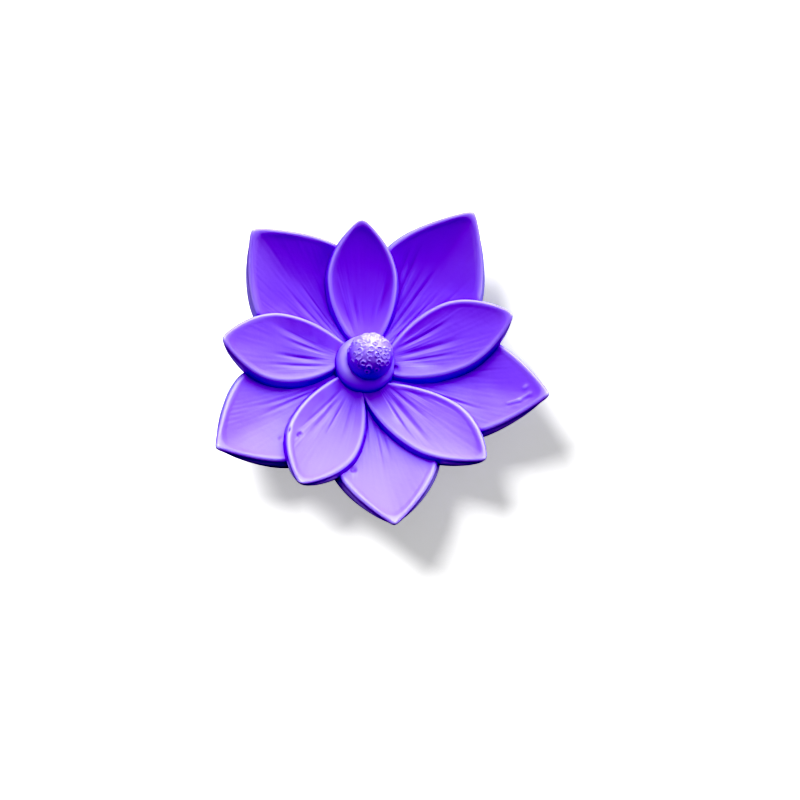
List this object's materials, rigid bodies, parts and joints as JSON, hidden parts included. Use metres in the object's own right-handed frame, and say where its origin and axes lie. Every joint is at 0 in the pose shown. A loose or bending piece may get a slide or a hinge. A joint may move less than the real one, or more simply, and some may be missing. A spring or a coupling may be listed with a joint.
{
  "type": "moulded lotus flower",
  "caption": "Flat-backed lotus blossom, cast whole: an outer and an inner row of cupped, pointed petals with raised rims around a domed, ring-textured seed head.",
  "frame": {"origin": "on the flat back, under the middle of the seed head", "axes": "+Z out of the flat back, through the seed head; +Y toward the narrow petal that stands between the two widest outer petals"},
  "size_m": [0.0655, 0.0665, 0.0148],
  "materials": {
    "violet_casting": "satin"
  },
  "bodies": {
    "root": {"lotus_flower": "violet_casting"}
  },
  "joints": []
}
